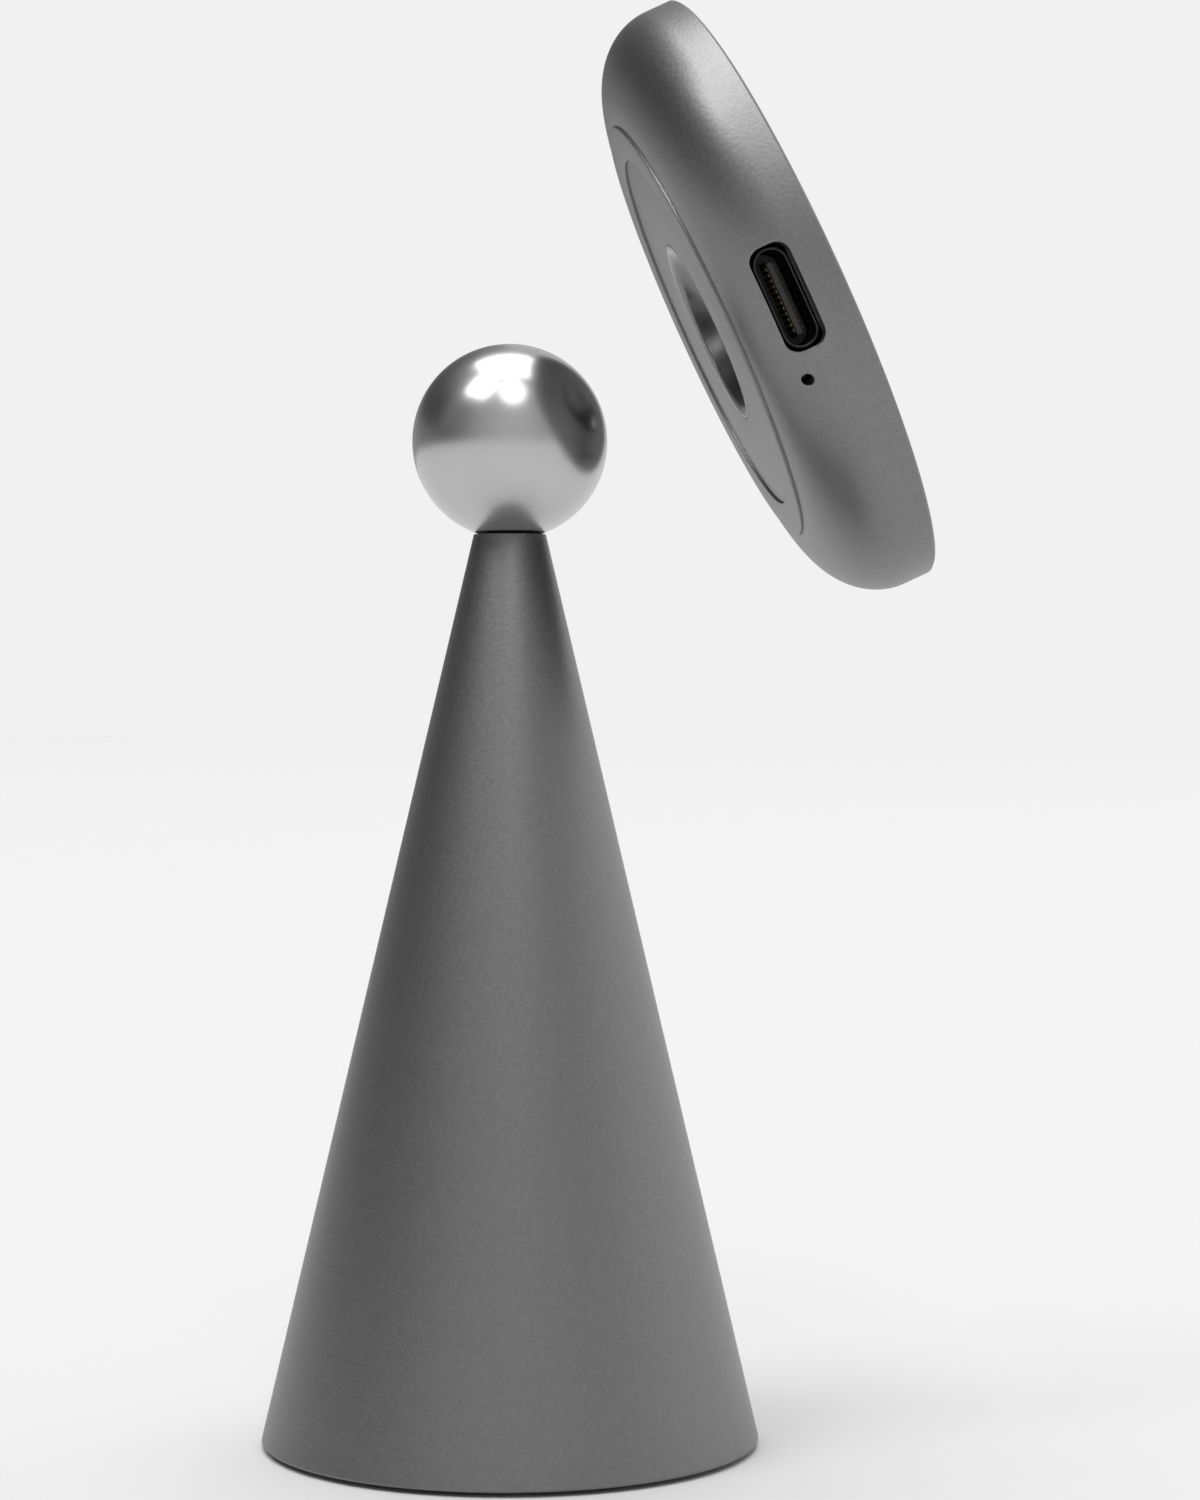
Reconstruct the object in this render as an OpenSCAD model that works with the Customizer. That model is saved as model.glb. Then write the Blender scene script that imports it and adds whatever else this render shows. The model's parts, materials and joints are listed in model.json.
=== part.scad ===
// Magnetic phone-charging stand: a cone pedestal with a steel ball on its tip,
// and a round wireless-charging disc whose magnetic seat clings to the ball.
// Millimetres, +Z up, origin at the centre of the foot pad's underside.
// The disc stands off the ball along +X, and its socket faces -Y.

/* [Cone] */
// Radius of the cone, taken down to the level it stands on
cone_r = 22.5; // [21.5:0.1:24]
// Half angle of the cone's taper, in degrees
cone_half_angle = 13.25; // [13:0.05:13.4]
// Gap that the foot pad leaves under the cone's edge
foot_gap = 0.4; // [0.2:0.1:0.6]
// Thickness of the cone's wall, measured level
shell_wall = 2.2; // [2:0.1:2.4]
// Height of the shoulder inside the tip
shoulder_z = 66; // [64:0.5:66]

/* [Ball] */
// Diameter of the steel ball
ball_d = 17.46; // [17:0.01:17.8]
// Height of the ball's centre
ball_z = 90.1; // [89.5:0.1:91]
// Gap between the ball and each cup that is shaped to it
ball_gap = 0.15; // [0.1:0.01:0.2]

/* [Disc] */
// Radius of the charging disc
disc_r = 28; // [27.8:0.1:29]
// Thickness of the disc, from its back face to its front rim
disc_t = 9.2; // [9.2:0.1:9.6]
// Length of the straight wall behind the front rim
side_wall = 2.6; // [2.4:0.1:2.8]
// How far the rounded shoulder reaches in over the back
shoulder_r = 7.9; // [7.5:0.1:7.9]
// Thickness of the back wall
back_wall = 1.3; // [1.2:0.05:1.35]
// Inner radius of the raised ring on the back
ring_in = 16.8; // [16.4:0.1:17]
// Outer radius of the raised ring on the back
ring_out = 20; // [19.6:0.1:20]
// How far the ring stands proud of the back
ring_proud = 0.25; // [0.1:0.05:0.4]
// Radius of the ball seat's mouth
seat_mouth_r = 8.45; // [8.3:0.05:8.5]
// Radius of the seat's rounded lip
seat_lip = 1.2; // [1:0.05:1.3]

/* [Pose] */
// Elevation of the disc's axis above level, in degrees
disc_elevation = 25; // [10:1:60]
// Distance from the ball's centre to the disc's back face, along its axis
stand_off = 20.2; // [16:0.1:26]
// How far the disc's axis passes above the ball's centre
axis_rise = 1.5; // [0:0.1:2]

/* [Socket and light] */
// Width of the socket's opening in the rim
port_w = 9.2; // [9.1:0.05:9.4]
// Height of the socket's opening in the rim
port_h = 3.4; // [3.3:0.05:3.6]
// Corner radius of that opening
port_corner = 1.2; // [1:0.05:1.4]
// Turn of the socket about the disc's axis, in degrees
port_turn = 3; // [0:0.5:6]
// Turn of the status light's hole about the disc's axis, in degrees
light_turn = 18; // [17:0.5:20]
// Radius of the status light's hole
light_hole_r = 0.5; // [0.48:0.01:0.6]

/* [Hidden] */
$fn = 96;

// A small overshoot that keeps cutting shapes clear of the faces they cut
cut = 1;

// Cone and foot
taper = tan(cone_half_angle);
plate_z = 1.6;
plate_t = 2;
plate_top = plate_z + plate_t;
plate_r = 20.2;
recess_r = plate_r + 0.2;
pad_r = plate_r - 0.2;
ballast_top = shoulder_z - 6.5;
ballast_gap = 0.3;
foot_screw_ring = 12;
foot_screw_r = 1.5;
foot_screw_len = 7;
foot_head_r = 2.8;
foot_head_t = 1.4;

// Ball and the shank that carries it
ball_r = ball_d / 2;
cup_r = ball_r + ball_gap;
shank_r = 1.95;
shank_bore_r = 2;
nut_af = 7;
nut_t = 3.2;
washer_t = 0.8;
washer_r = 3.9;
washer_slit = 0.7;
washer_top = shoulder_z - 0.1;
nut_top = washer_top - washer_t - 0.05;
shank_bottom = nut_top - nut_t - 0.9;

// Seat: a spherical cup with a rounded lip that meets the back face
seat_centre = sqrt(pow(cup_r + seat_lip, 2) - pow(seat_mouth_r, 2)) - seat_lip;
seat_lip_angle = atan2(seat_mouth_r, seat_centre + seat_lip);
seat_rim_r = seat_mouth_r + 0.05;
seat_hole_r = seat_rim_r + 0.05;
seat_flange_r = seat_rim_r + 0.9;
seat_floor = 5.15;
seat_foot_r = 5.6;
magnet_r = 5;
magnet_t = 1.4;
yoke_r = 6;
yoke_t = 0.5;

// Levels inside the disc, measured from its back face along its axis
flat_r = disc_r - shoulder_r;
wall_start = disc_t - side_wall;
ring_seat = 0.5;
rim_chamfer = 0.25;
cover_r = disc_r - 1.05;
cover_bed = disc_t - 1.4;
cover_t = 0.8;
pad_t = 0.45;
pad_sunk = 0.1;
inner_flat_r = 19.2;
inner_wall_r = cover_r - 0.75;
inner_wall_start = wall_start - 0.2;
board_z = 1.85;
board_t = 0.8;
board_top = board_z + board_t;
board_in = 9.9;
board_out = 21.8;
board_screw_ring = 14;
board_screw_r = 0.7;
socket_z = 4.3;
tray_z = 5.95;
tray_t = 0.25;
tray_hole_r = 7;
tray_wall_r = 22.4;
stack_top = cover_bed - 0.05;
magnets_in = tray_wall_r + 0.4;
magnets_out = inner_wall_r - 0.2;
magnet_count = 16;
magnets_z = 6.4;
ferrite_z = tray_z + tray_t + 0.05;
ferrite_t = 0.5;
ferrite_r = 21.6;
coil_z = 7.28;
coil_wire_r = 0.45;
coil_pitch = 0.86;
coil_turns = 13;
coil_in = 10.7;
lead_ring = 11.3;
lead_r = 0.25;
lead_hole_r = 0.45;
lead_turns = [172, 188];

// USB-C receptacle
usb_w = 8.94;
usb_h = 3.16;
usb_wall = 0.3;
usb_back = 19.2;
usb_mouth = 26;
tongue_w = 6.69;
tongue_h = 0.7;
tongue_end = usb_mouth - 0.8;
contact_count = 12;
contact_pitch = 0.5;

// Status light
light_z = 3.15;

// Colours of the materials
grey_metal = [0.42, 0.42, 0.43];
bright_metal = [0.78, 0.79, 0.8];
dark_metal = [0.25, 0.25, 0.26];
black_plastic = [0.07, 0.07, 0.08];

function cone_at(z) = cone_r - taper * z;

// Points of a quarter ellipse from (r0, z0) out to (r0 + dr, z0 + dz)
function shoulder(r0, z0, dr, dz, steps) =
    [for (i = [0 : steps]) [r0 + dr * sin(90 * i / steps), z0 + dz * (1 - cos(90 * i / steps))]];

// Points of the seat's bowl, from its axis out to where the lip begins
function bowl(steps) =
    [for (i = [0 : steps]) let (a = seat_lip_angle * i / steps)
        [cup_r * sin(a), cup_r * cos(a) - seat_centre]];

// Points of the lip, from the bowl out to the back face
function lip(steps) =
    [for (i = [1 : steps]) let (a = seat_lip_angle * (1 - i / steps))
        [seat_mouth_r - seat_lip * sin(a), seat_lip * (1 - cos(a))]];

// Puts a shape drawn round +Z, with the back face at z = 0, where the disc is
module in_disc() {
    rise = [-sin(disc_elevation), 0, cos(disc_elevation)];
    out = [cos(disc_elevation), 0, sin(disc_elevation)];
    translate([0, 0, ball_z] + stand_off * out + axis_rise * rise)
        rotate([0, 90 - disc_elevation, 0])
            children();
}

// Turns a shape so that its +Z points out through the rim and +Y to the front
module through_rim(turn, z) {
    translate([0, 0, z])
        rotate([90, 0, turn])
            children();
}

// A flat ring from z upwards
module ring(r_in, r_out, z, t) {
    translate([0, 0, z])
        difference() {
            cylinder(r = r_out, h = t);
            translate([0, 0, -cut])
                cylinder(r = r_in, h = t + 2 * cut);
        }
}

// An outline with rounded corners, centred on the origin
module rounded_slot(w, h, corner) {
    square([w - 2 * corner, h], center = true);
    square([w, h - 2 * corner], center = true);
    for (x = [-1, 1], y = [-1, 1])
        translate([x * (w / 2 - corner), y * (h / 2 - corner)])
            circle(r = corner, $fn = 48);
}

// The outline of a USB-C shell, round at both ends
module stadium(w, h) {
    square([w - h, h], center = true);
    for (x = [-1, 1])
        translate([x * (w - h) / 2, 0])
            circle(r = h / 2, $fn = 48);
}

module cone_shell() {
    color(grey_metal)
        difference() {
            translate([0, 0, foot_gap])
                cylinder(r1 = cone_at(foot_gap), r2 = cone_at(ball_z - 7), h = ball_z - 7 - foot_gap);
            translate([0, 0, ball_z])
                sphere(r = cup_r);
            cylinder(r = shank_bore_r, h = ball_z);
            translate([0, 0, -cut])
                cylinder(r = recess_r, h = plate_top + cut);
            translate([0, 0, plate_top - 0.01])
                cylinder(r1 = cone_at(plate_top) - shell_wall, r2 = cone_at(shoulder_z) - shell_wall,
                    h = shoulder_z - plate_top);
        }
}

module ballast() {
    bottom = plate_top + 0.05;
    gap = shell_wall + ballast_gap;
    color(dark_metal)
        difference() {
            translate([0, 0, bottom])
                cylinder(r1 = cone_at(bottom) - gap, r2 = cone_at(ballast_top) - gap, h = ballast_top - bottom);
            for (a = [0, 120, 240])
                rotate([0, 0, a])
                    translate([foot_screw_ring, 0, 0])
                        cylinder(r = foot_screw_r + 0.05, h = plate_z + foot_screw_len + 1, $fn = 32);
        }
}

module base_plate() {
    color(bright_metal)
        difference() {
            translate([0, 0, plate_z])
                cylinder(r = plate_r, h = plate_t);
            for (a = [0, 120, 240])
                rotate([0, 0, a])
                    translate([foot_screw_ring, 0, 0]) {
                        cylinder(r = foot_screw_r + 0.1, h = plate_top + cut, $fn = 32);
                        translate([0, 0, plate_z - 0.01])
                            cylinder(r1 = foot_head_r + 0.1, r2 = foot_screw_r + 0.1, h = foot_head_t, $fn = 32);
                    }
        }
}

module base_screws() {
    color(bright_metal)
        for (a = [0, 120, 240])
            rotate([0, 0, a])
                translate([foot_screw_ring, 0, plate_z + 0.02])
                    difference() {
                        union() {
                            cylinder(r1 = foot_head_r, r2 = foot_screw_r, h = foot_head_t, $fn = 32);
                            cylinder(r = foot_screw_r, h = foot_screw_len, $fn = 32);
                        }
                        for (turn = [0, 90])
                            rotate([0, 0, turn])
                                cube([2.6, 0.5, 1.6], center = true);
                    }
}

module foot_pad() {
    groove_t = 0.4;
    color(black_plastic)
        difference() {
            cylinder(r = pad_r, h = plate_z - 0.02);
            for (r = [8, 13, 18])
                ring(r - 0.5, r + 0.5, -cut, groove_t + cut);
        }
}

module ball_shank() {
    color(bright_metal)
        difference() {
            union() {
                translate([0, 0, shank_bottom + 0.4])
                    cylinder(r = shank_r, h = ball_z - 7 - shank_bottom, $fn = 48);
                translate([0, 0, shank_bottom])
                    cylinder(r1 = shank_r - 0.4, r2 = shank_r, h = 0.41, $fn = 48);
            }
            translate([0, 0, ball_z])
                sphere(r = cup_r);
        }
}

module lock_washer() {
    color(bright_metal)
        difference() {
            ring(shank_r + 0.2, washer_r, washer_top - washer_t, washer_t);
            translate([0, -washer_slit / 2, washer_top - washer_t - cut])
                cube([washer_r + cut, washer_slit, washer_t + 2 * cut]);
        }
}

module lock_nut() {
    corner_r = nut_af / 2 / cos(30);
    color(bright_metal)
        translate([0, 0, nut_top - nut_t])
            difference() {
                cylinder(r = corner_r, h = nut_t, $fn = 6);
                translate([0, 0, -cut])
                    cylinder(r = shank_r + 0.01, h = nut_t + 2 * cut, $fn = 48);
            }
}

module steel_ball() {
    color(bright_metal)
        translate([0, 0, ball_z])
            sphere(r = ball_r);
}

module seat_dish() {
    outside = [
        [seat_rim_r, 0], [seat_rim_r, back_wall + 0.05], [seat_flange_r, back_wall + 0.05],
        [seat_flange_r, back_wall + 0.55], [seat_rim_r - 0.3, back_wall + 0.55],
        [7.2, 3.2], [seat_foot_r, seat_floor], [0, seat_floor]
    ];
    color(grey_metal)
        in_disc()
            rotate_extrude()
                polygon(concat(bowl(24), lip(10), outside));
}

module seat_magnet() {
    color(bright_metal)
        in_disc()
            translate([0, 0, seat_floor + 0.05])
                cylinder(r = magnet_r, h = magnet_t);
}

module seat_yoke() {
    top = seat_floor + 0.05 + magnet_t + 0.05;
    color(dark_metal)
        in_disc() {
            translate([0, 0, top])
                cylinder(r = yoke_r, h = yoke_t);
            ring(magnet_r + 0.3, yoke_r, seat_floor + 0.05, top - seat_floor);
        }
}

module housing() {
    outside = concat(
        [[seat_hole_r, 0]],
        shoulder_back(),
        [[disc_r, disc_t - rim_chamfer], [disc_r - rim_chamfer, disc_t]]
    );
    inside = concat(
        [[cover_r + 0.05, disc_t], [cover_r + 0.05, cover_bed], [inner_wall_r, cover_bed]],
        reversed(shoulder(inner_flat_r, back_wall, inner_wall_r - inner_flat_r, inner_wall_start - back_wall, 16)),
        [[seat_hole_r, back_wall]]
    );
    color(grey_metal)
        in_disc()
            difference() {
                union() {
                    rotate_extrude()
                        polygon(concat(outside, inside));
                    for (a = [90, 210, 330])
                        rotate([0, 0, a])
                            translate([board_screw_ring, 0, back_wall - 0.1])
                                cylinder(r = 2, h = board_z - back_wall + 0.1, $fn = 48);
                }
                ring(ring_in - 0.05, ring_out + 0.05, -cut, ring_seat + cut);
                for (a = [90, 210, 330])
                    rotate([0, 0, a])
                        translate([board_screw_ring, 0, ring_seat])
                            cylinder(r = board_screw_r + 0.05, h = board_z, $fn = 32);
                through_rim(port_turn, socket_z)
                    translate([0, 0, inner_flat_r])
                        linear_extrude(height = disc_r)
                            rounded_slot(port_w, port_h, port_corner);
                through_rim(light_turn, light_z)
                    translate([0, 0, inner_flat_r])
                        cylinder(r = light_hole_r, h = disc_r, $fn = 32);
            }
}

// The rounded shoulder as seen from the back face out to the straight wall
function shoulder_back() = shoulder(flat_r, 0, shoulder_r, wall_start, 24);

function reversed(list) = [for (i = [len(list) - 1 : -1 : 0]) list[i]];

module back_ring() {
    edge = 0.1;
    top = -ring_proud;
    low = ring_seat - 0.02;
    color(grey_metal)
        in_disc()
            rotate_extrude()
                polygon([
                    [ring_in, low], [ring_in, top + edge], [ring_in + edge, top],
                    [ring_out - edge, top], [ring_out, top + edge], [ring_out, low]
                ]);
}

module front_cover() {
    color(black_plastic)
        in_disc()
            translate([0, 0, cover_bed + 0.02])
                cylinder(r = cover_r, h = cover_t);
}

module front_pad() {
    top = disc_t - pad_sunk;
    edge = 0.2;
    color(black_plastic)
        in_disc()
            difference() {
                rotate_extrude()
                    polygon([
                        [0, top - pad_t], [cover_r, top - pad_t], [cover_r, top - edge],
                        [cover_r - edge, top], [0, top]
                    ]);
                ring(22.2, 22.6, top - 0.15, cut);
            }
}

module alignment_magnets() {
    step = 360 / magnet_count;
    color(bright_metal)
        in_disc()
            for (i = [0 : magnet_count - 1])
                rotate([0, 0, i * step])
                    translate([0, 0, magnets_z])
                        rotate_extrude(angle = step - 2)
                            translate([magnets_in, 0])
                                square([magnets_out - magnets_in, stack_top - magnets_z]);
}

module magnet_yoke() {
    color(dark_metal)
        in_disc()
            ring(magnets_in, magnets_out, tray_z, magnets_z - 0.05 - tray_z);
}

module charging_coil() {
    color([0.72, 0.42, 0.22])
        in_disc()
            rotate_extrude()
                for (i = [0 : coil_turns - 1])
                    translate([coil_in + i * coil_pitch, coil_z])
                        circle(r = coil_wire_r, $fn = 24);
}

module coil_leads() {
    color([0.72, 0.42, 0.22])
        in_disc()
            for (a = lead_turns)
                rotate([0, 0, a])
                    translate([lead_ring, 0, board_top + 0.02])
                        cylinder(r = lead_r, h = coil_z - coil_wire_r - board_top, $fn = 24);
}

module lead_holes() {
    for (a = lead_turns)
        rotate([0, 0, a])
            translate([lead_ring, 0, 0])
                cylinder(r = lead_hole_r, h = disc_t, $fn = 24);
}

module ferrite_sheet() {
    color(dark_metal)
        in_disc()
            difference() {
                ring(tray_hole_r, ferrite_r, ferrite_z, ferrite_t);
                lead_holes();
            }
}

module coil_tray() {
    color([0.85, 0.85, 0.83])
        in_disc()
            difference() {
                union() {
                    ring(tray_hole_r, tray_wall_r, tray_z, tray_t);
                    ring(tray_wall_r - 0.5, tray_wall_r, tray_z, stack_top - tray_z);
                }
                lead_holes();
            }
}

module circuit_board() {
    color([0.05, 0.25, 0.12])
        in_disc()
            difference() {
                ring(board_in, board_out, board_z + 0.02, board_t);
                for (a = [90, 210, 330])
                    rotate([0, 0, a])
                        translate([board_screw_ring, 0, 0])
                            cylinder(r = board_screw_r + 0.15, h = disc_t, $fn = 32);
            }
}

module board_screws() {
    color(bright_metal)
        in_disc()
            for (a = [90, 210, 330])
                rotate([0, 0, a])
                    translate([board_screw_ring, 0, board_top + 0.05])
                        difference() {
                            union() {
                                cylinder(r = 1.3, h = 0.7, $fn = 32);
                                translate([0, 0, -2])
                                    cylinder(r = board_screw_r, h = 2.1, $fn = 32);
                            }
                            for (turn = [0, 90])
                                translate([0, 0, 0.7])
                                    rotate([0, 0, turn])
                                        cube([1.5, 0.35, 0.8], center = true);
                        }
}

module driver_chip() {
    color(black_plastic)
        in_disc()
            rotate([0, 0, 30])
                translate([13.5, -2.5, board_top + 0.05])
                    cube([5, 5, 0.85]);
}

module tuning_capacitors() {
    color([0.55, 0.42, 0.3])
        in_disc()
            for (a = [130, 142, 154, 230, 242])
                rotate([0, 0, a])
                    translate([16, -0.8, board_top + 0.05])
                        cube([3.2, 1.6, 1.4]);
}

module usb_shell() {
    color(dark_metal)
        in_disc()
            through_rim(port_turn, socket_z)
                difference() {
                    translate([0, 0, usb_back])
                        linear_extrude(height = usb_mouth - usb_back)
                            stadium(usb_w, usb_h);
                    translate([0, 0, usb_back + usb_wall])
                        linear_extrude(height = usb_mouth)
                            stadium(usb_w - 2 * usb_wall, usb_h - 2 * usb_wall);
                }
}

module usb_tongue() {
    back = usb_back + usb_wall + 0.02;
    block_t = 1.4;
    inset = 2 * usb_wall + 0.06;
    color(black_plastic)
        in_disc()
            through_rim(port_turn, socket_z) {
                translate([0, 0, back])
                    linear_extrude(height = block_t)
                        stadium(usb_w - inset, usb_h - inset);
                translate([-tongue_w / 2, -tongue_h / 2, back + block_t - 0.1])
                    cube([tongue_w, tongue_h, tongue_end - back - block_t + 0.1]);
            }
}

module usb_contacts() {
    contact = [0.26, 0.06, 3.6];
    color([0.85, 0.65, 0.25])
        in_disc()
            through_rim(port_turn, socket_z)
                for (i = [0 : contact_count - 1], side = [0, 1])
                    rotate([0, 0, 180 * side])
                        translate([
                            (i - (contact_count - 1) / 2) * contact_pitch - contact[0] / 2,
                            tongue_h / 2, tongue_end - contact[2] - 0.5
                        ])
                            cube(contact);
}

module status_led() {
    color([0.9, 0.92, 0.85])
        in_disc()
            through_rim(light_turn, board_top + 0.05)
                translate([-0.8, 0, 20.6])
                    cube([1.6, 0.6, 0.8]);
}

module light_pipe() {
    color([0.3, 0.3, 0.32])
        in_disc()
            through_rim(light_turn, light_z)
                translate([0, 0, 21.6])
                    cylinder(r = light_hole_r - 0.04, h = 3.6, $fn = 32);
}

cone_shell();
ballast();
base_plate();
base_screws();
foot_pad();
ball_shank();
lock_washer();
lock_nut();
steel_ball();
seat_dish();
seat_magnet();
seat_yoke();
housing();
back_ring();
front_cover();
front_pad();
alignment_magnets();
magnet_yoke();
charging_coil();
coil_leads();
ferrite_sheet();
coil_tray();
circuit_board();
board_screws();
driver_chip();
tuning_capacitors();
usb_shell();
usb_tongue();
usb_contacts();
status_led();
light_pipe();
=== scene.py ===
# %% [markdown]
# # A charging stand: a cone, a steel ball and a round disc
#
# The object is a grey metal cone with a polished ball on its tip. A round phone charger clings to the ball
# by a magnet, and here it is held just off the ball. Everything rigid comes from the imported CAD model,
# which is loaded first and never moved. The surfaces that the eye rests on are then made again as smooth
# meshes in the same place, because the CAD mesh is flat triangles and a mirror or a satin metal shows every
# one of them.

# %% The frame
import json
import math

import bmesh
import bpy
import numpy as np
from mathutils import Matrix, Vector


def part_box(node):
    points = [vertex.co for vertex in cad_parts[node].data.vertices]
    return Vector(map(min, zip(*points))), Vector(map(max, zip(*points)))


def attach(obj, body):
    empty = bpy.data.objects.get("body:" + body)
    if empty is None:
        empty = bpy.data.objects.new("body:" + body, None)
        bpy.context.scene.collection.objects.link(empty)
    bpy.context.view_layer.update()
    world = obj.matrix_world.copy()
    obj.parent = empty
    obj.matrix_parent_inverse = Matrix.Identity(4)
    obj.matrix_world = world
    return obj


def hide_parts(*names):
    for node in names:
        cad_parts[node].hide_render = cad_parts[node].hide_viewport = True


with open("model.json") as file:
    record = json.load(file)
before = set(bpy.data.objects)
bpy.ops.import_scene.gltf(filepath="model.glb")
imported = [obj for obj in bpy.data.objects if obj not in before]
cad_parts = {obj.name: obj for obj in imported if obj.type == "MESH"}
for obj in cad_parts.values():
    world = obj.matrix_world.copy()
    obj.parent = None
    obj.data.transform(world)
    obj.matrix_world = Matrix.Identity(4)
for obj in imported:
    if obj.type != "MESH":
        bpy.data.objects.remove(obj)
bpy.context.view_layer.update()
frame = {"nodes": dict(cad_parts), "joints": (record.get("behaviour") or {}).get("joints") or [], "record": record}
MM = 0.001

# %% [markdown]
# ## Where things are
#
# The joints already say where the two important centres are. `tilt` turns about the ball's centre, and
# `spin` turns about the disc's own axis and starts at the middle of its back face. From these come two
# placing matrices: one for pieces that stand on the cone's axis, and one for pieces of the disc, which are
# easiest to draw lying flat with their back at z = 0.

# %% Placing matrices
joints = {joint["name"]: joint for joint in frame["joints"]}
ball_centre = Vector(joints["tilt"]["pos_m"])
disc_back = Vector(joints["spin"]["pos_m"])
disc_axis = Vector(joints["spin"]["axis"]).normalized()
across = Vector((0, 1, 0))
downhill = across.cross(disc_axis)

upright = Matrix.Identity(4)
on_disc = Matrix.Translation(disc_back) @ Matrix((downhill, across, disc_axis)).transposed().to_4x4()


def through_rim(turn, height):
    """A place in the disc's rim: its z points out through the rim, its y towards the disc's front, and its
    x along the rim. turn is in degrees about the disc's axis, height in mm above its back face."""
    lifted = Matrix.Translation((0, 0, height * MM))
    turned = Matrix.Rotation(math.radians(turn), 4, "Z")
    return on_disc @ lifted @ turned @ Matrix.Rotation(math.pi / 2, 4, "X")


print("ball centre", tuple(ball_centre), "disc axis", tuple(round(v, 4) for v in disc_axis))

# %% [markdown]
# ## Sizes
#
# These are the CAD model's own sizes, in millimetres. The cone's and the disc's radii are measured on the
# frame, so they can't drift away from it.

# %% Sizes in millimetres
def size_of(node):
    """The CAD node's extents along X, Y and Z, in mm."""
    low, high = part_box(node)
    return (high - low) / MM


TAPER = math.tan(math.radians(13.25))
FOOT_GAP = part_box("cone_shell")[0].z / MM
CONE_R = size_of("cone_shell").x / 2 + TAPER * FOOT_GAP
BALL_R = size_of("steel_ball").z / 2
BALL_Z = ball_centre.z / MM
CUP_R = BALL_R + 0.15
DISC_R = size_of("housing").y / 2
DISC_T = 9.2
SIDE_WALL = 2.6
SHOULDER_R = 7.9
FLAT_R = DISC_R - SHOULDER_R
WALL_START = DISC_T - SIDE_WALL
BACK_WALL = 1.3
RING_IN, RING_OUT = 16.8, 20.0
RING_PROUD, RING_SEAT, RING_GAP = 0.25, 0.5, 0.03
MOUTH_R, LIP_R = 8.45, 1.2
SEAT_CENTRE = math.sqrt((CUP_R + LIP_R) ** 2 - MOUTH_R**2) - LIP_R
# Roundings that come again and again: an edge broken with a file, a keen edge and an inner corner
BROKEN, KEEN, INNER = 0.1, 0.06, 0.05
print(f"radii: cone {CONE_R:.2f}, ball {BALL_R:.2f}, disc {DISC_R:.2f}; seat centre {SEAT_CENTRE:.3f}")

# %% [markdown]
# ## Turned shapes
#
# A lathe makes almost every piece of this object, and so does the next function: it carries a closed
# outline once round the axis. The outline is a list of corners, each with the radius of the rounding that a
# real cutter or mould leaves there. Even a tenth of a millimetre matters, because a rounded edge catches a
# line of light and a sharp one never does.

# %% Outlines
TURNS = 360
CORNER_STEPS = 6
SMOOTH_ANGLE = math.radians(40)


def unit(v):
    """Each row scaled to length one."""
    return v / np.linalg.norm(v, axis=-1, keepdims=True)


def rounded(corners):
    """A closed outline of (r, z, rounding) corners with each corner turned into an arc. For a corner whose
    sides part at the angle q, the arc starts rounding / tan(q / 2) from the corner, and its centre is
    rounding / sin(q / 2) away along the bisector. The arc itself is a slerp between its two end radii."""
    corners = np.array(corners, float)
    point, rounding = corners[:, :2], corners[:, 2:]
    back = unit(np.roll(point, 1, 0) - point)
    ahead = unit(np.roll(point, -1, 0) - point)
    half = np.arccos(np.clip((back * ahead).sum(1, keepdims=True), -1, 1)) / 2
    centre = point + unit(back + ahead + 1e-12) * rounding / np.sin(half)
    first = point + back * rounding / np.tan(half) - centre
    last = point + ahead * rounding / np.tan(half) - centre
    swing = math.pi - 2 * half
    s = np.linspace(0, 1, CORNER_STEPS + 1)[None, :, None]
    arc = (np.sin((1 - s) * swing[:, None]) * first[:, None] + np.sin(s * swing[:, None]) * last[:, None])
    return (centre[:, None] + arc / np.sin(swing)[:, None]).reshape(-1, 2)


def between(corners, ends=0):
    """The rounded outline from after its first corner to before its last one, for a piece of a longer
    outline. With ends at 1, one point of each end corner stays, for an outline that starts and ends on the
    axis."""
    away = CORNER_STEPS + 1 - ends
    return rounded(corners)[away:-away]

# %% [markdown]
# Points and quads become a mesh in one place only, so every piece is closed, smooth and turned outwards in
# the same way. Blender could take its own primitives and modifiers instead, but then each piece would need
# its own clean-up. The lathe and the sweep below only have to number their grid.

# %% Mesh and lathe
def mesh_of(name, points, faces, place):
    """A smooth-shaded object from points in mm and quads, put in place. Points that fall together, as on
    the axis, are merged, and then every face is turned to look outwards."""
    mesh = bpy.data.meshes.new(name)
    mesh.from_pydata((points.reshape(-1, 3) * MM).tolist(), [], faces.tolist())
    work = bmesh.new()
    work.from_mesh(mesh)
    bmesh.ops.remove_doubles(work, verts=work.verts, dist=1e-8)
    bmesh.ops.dissolve_degenerate(work, edges=work.edges, dist=1e-9)
    bmesh.ops.recalc_face_normals(work, faces=work.faces)
    open_edges = sum(not edge.is_manifold for edge in work.edges)
    work.to_mesh(mesh)
    work.free()
    mesh.transform(place)
    mesh.shade_smooth()
    mesh.set_sharp_from_angle(angle=SMOOTH_ANGLE)
    piece = bpy.data.objects.new(name, mesh)
    bpy.context.scene.collection.objects.link(piece)
    print(f"{name}: {len(mesh.polygons)} faces, {open_edges} open edges")
    return piece


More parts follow.
